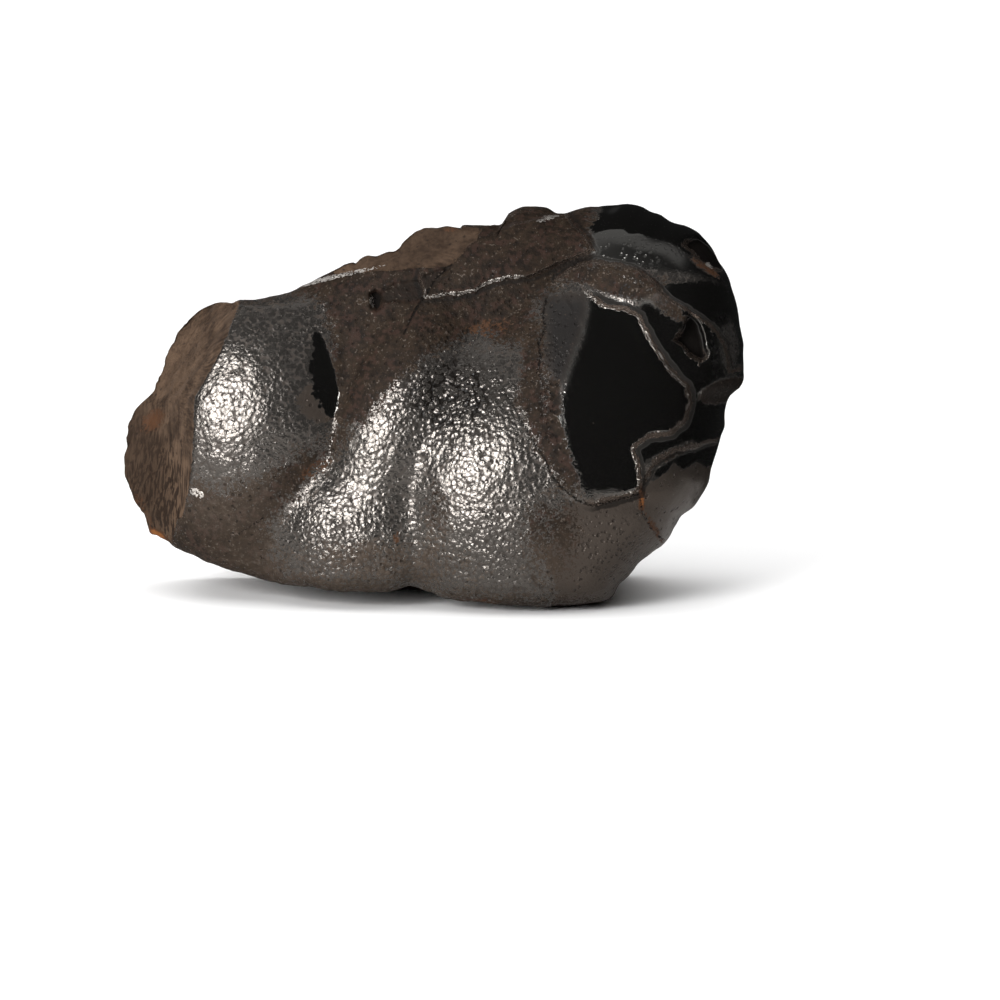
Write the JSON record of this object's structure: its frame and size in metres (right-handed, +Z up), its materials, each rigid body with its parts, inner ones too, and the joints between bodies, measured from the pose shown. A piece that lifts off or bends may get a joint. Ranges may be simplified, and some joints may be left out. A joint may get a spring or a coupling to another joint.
{
  "type": "botryoidal goethite specimen",
  "caption": "Broken hand specimen of goethite with glossy rounded lobes, peeling growth layers and a flat broken edge to stand on.",
  "frame": {"origin": "middle of the bounding box, at the level of the flat edge the stone stands on", "axes": "+X to the right along the longest extent, +Z up, the lobed face towards -Y and leaning back by eight degrees"},
  "size_m": [0.1052, 0.0572, 0.0653],
  "materials": {
    "goethite": "dark brown to black goethite: mirror-like black crust where it is smooth, finely pebbled and satin elsewhere, dull brown where it is broken"
  },
  "bodies": {
    "root": {"goethite": "goethite"}
  },
  "joints": []
}
